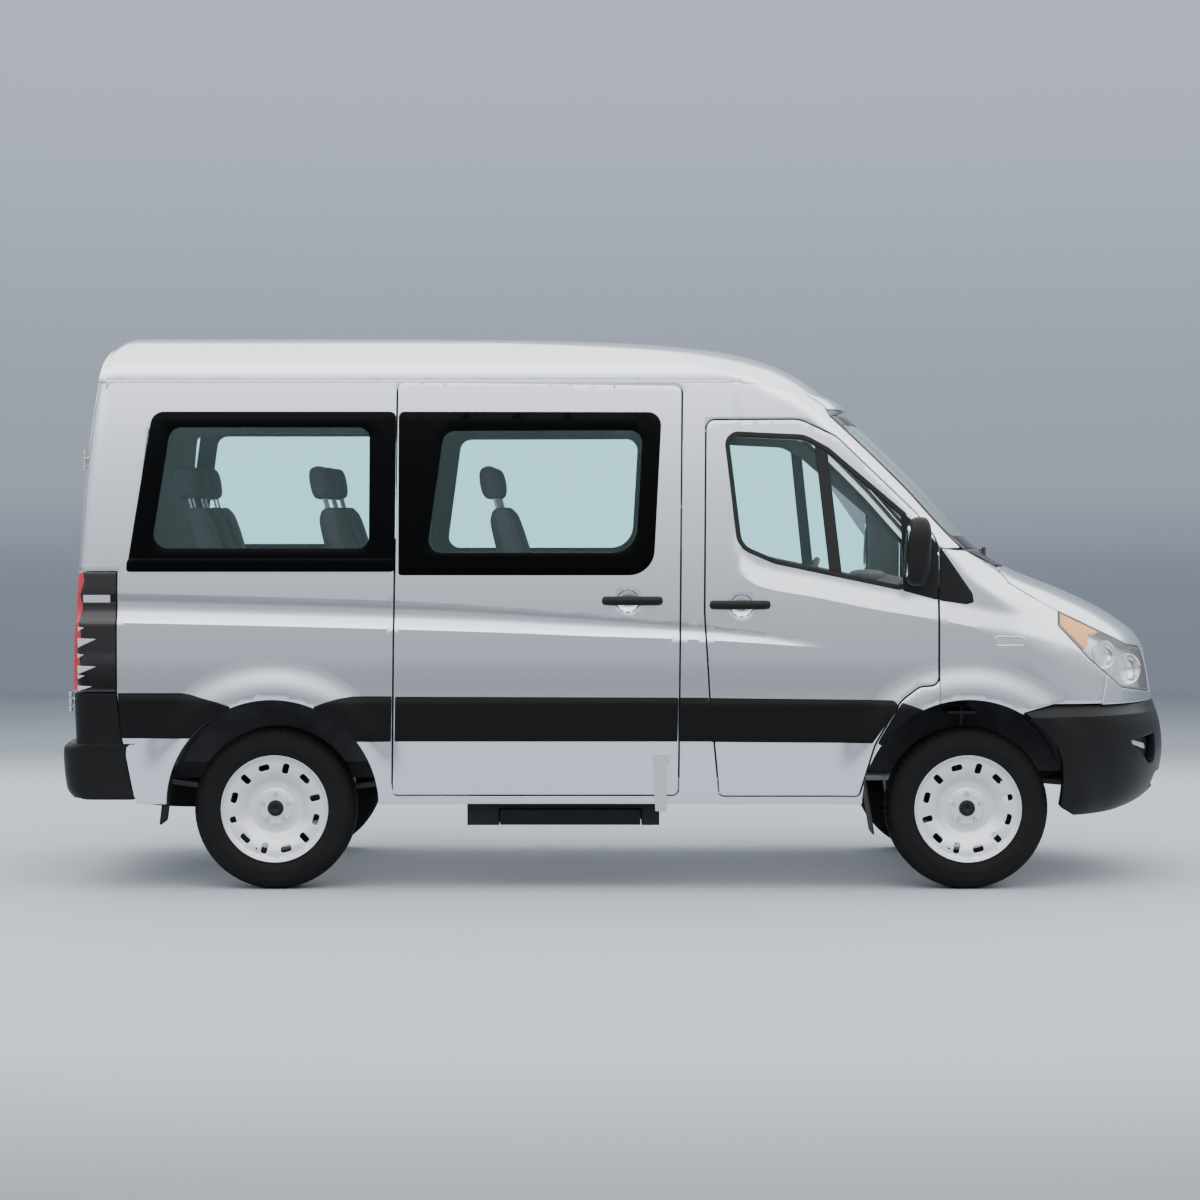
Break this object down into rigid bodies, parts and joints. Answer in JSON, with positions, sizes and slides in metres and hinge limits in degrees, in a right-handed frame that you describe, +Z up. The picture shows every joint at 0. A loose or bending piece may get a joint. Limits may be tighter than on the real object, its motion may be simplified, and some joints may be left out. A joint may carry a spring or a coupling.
{
  "type": "minibus",
  "caption": "High-roof minibus with two cab doors, a sliding side door, twin rear doors, steered front wheels and a slide-out step.",
  "frame": {"origin": "on the ground below the middle of the overall length, on the centre plane", "axes": "+X towards the nose, +Y to the left side, +Z up"},
  "size_m": [5.31, 2.3594, 2.6189],
  "materials": {
    "body_paint": "light silver metallic, gloss",
    "dark_steel": "dark satin",
    "black_plastic": "fine grain, satin",
    "lamp": "clear and red, gloss",
    "glass": "green tint",
    "seat_cloth": "woven",
    "tyre": "matt",
    "wheel": "silver satin"
  },
  "bodies": {
    "body": {"body_side_left": "body_paint", "body_side_right": "body_paint", "roof": "body_paint", "wings": "body_paint", "grille": "body_paint", "sliding_door": "body_paint", "floor": "dark_steel", "scuttle": "dark_steel", "engine": "dark_steel", "chassis_rails": "dark_steel", "rear_axle": "dark_steel", "exhaust": "dark_steel", "front_bumper": "black_plastic", "rear_bumper": "black_plastic", "side_trim": "black_plastic", "dashboard": "black_plastic", "fuel_tank": "black_plastic", "step_housing": "black_plastic", "lamps": "lamp", "windscreen": "glass", "side_windows": "glass", "front_seats": "seat_cloth", "rear_seats": "seat_cloth", "spare_wheel": "tyre"},
    "bonnet": {"bonnet": "body_paint"},
    "side_step": {"side_step": "black_plastic"},
    "door_left": {"door_left": "body_paint", "door_glass_left": "glass", "door_trim_left": "black_plastic"},
    "door_right": {"door_right": "body_paint", "door_glass_right": "glass", "door_trim_right": "black_plastic"},
    "rear_door_left": {"rear_door_left": "body_paint", "rear_glass_left": "glass"},
    "rear_door_right": {"rear_door_right": "body_paint", "rear_glass_right": "glass"},
    "knuckle_left": {"knuckle_left": "dark_steel"},
    "knuckle_right": {"knuckle_right": "dark_steel"},
    "wheel_front_left": {"tyre_front_left": "tyre", "rim_front_left": "wheel"},
    "wheel_front_right": {"tyre_front_right": "tyre", "rim_front_right": "wheel"},
    "wheel_rear_left": {"tyre_rear_left": "tyre", "rim_rear_left": "wheel"},
    "wheel_rear_right": {"tyre_rear_right": "tyre", "rim_rear_right": "wheel"}
  },
  "joints": [
    {"name": "bonnet_lift", "type": "hinge", "parent": "body", "child": "bonnet", "pos_m": [1.69, 0, 1.47], "axis": [0, -1, 0], "range_deg": [0, 42]},
    {"name": "step_slide", "type": "slide", "parent": "body", "child": "side_step", "axis": [0, -1, 0], "range_m": [0, 0.22]},
    {"name": "door_swing_left", "type": "hinge", "parent": "body", "child": "door_left", "pos_m": [1.397, 0.9651, 1.1], "axis": [0, 0, -1], "range_deg": [0, 68]},
    {"name": "rear_door_swing_left", "type": "hinge", "parent": "body", "child": "rear_door_left", "pos_m": [-2.59781, 0.91829, 0.883], "axis": [-0.0501, 0.0701, -0.9963], "range_deg": [0, 170]},
    {"name": "steer_left", "type": "hinge", "parent": "body", "child": "knuckle_left", "pos_m": [1.605, 0.655, 0.38], "axis": [0, 0, 1], "range_deg": [-34, 34]},
    {"name": "front_wheel_spin_left", "type": "hinge", "parent": "knuckle_left", "child": "wheel_front_left", "pos_m": [1.605, 0.822, 0.38], "axis": [0, 1, 0], "continuous": true},
    {"name": "rear_wheel_spin_left", "type": "hinge", "parent": "body", "child": "wheel_rear_left", "pos_m": [-1.645, 0.822, 0.38], "axis": [0, 1, 0], "continuous": true},
    {"name": "door_swing_right", "type": "hinge", "parent": "body", "child": "door_right", "pos_m": [1.397, -0.9651, 1.1], "axis": [0, 0, 1], "range_deg": [0, 68]},
    {"name": "rear_door_swing_right", "type": "hinge", "parent": "body", "child": "rear_door_right", "pos_m": [-2.59781, -0.91829, 0.883], "axis": [0.0501, 0.0701, 0.9963], "range_deg": [0, 170]},
    {"name": "steer_right", "type": "hinge", "parent": "body", "child": "knuckle_right", "pos_m": [1.605, -0.655, 0.38], "axis": [0, 0, 1], "range_deg": [-34, 34]},
    {"name": "front_wheel_spin_right", "type": "hinge", "parent": "knuckle_right", "child": "wheel_front_right", "pos_m": [1.605, -0.822, 0.38], "axis": [0, 1, 0], "continuous": true},
    {"name": "rear_wheel_spin_right", "type": "hinge", "parent": "body", "child": "wheel_rear_right", "pos_m": [-1.645, -0.822, 0.38], "axis": [0, 1, 0], "continuous": true}
  ],
  "couplings": [
    {"joint": "steer_right", "follows": "steer_left", "ratio": 1}
  ]
}
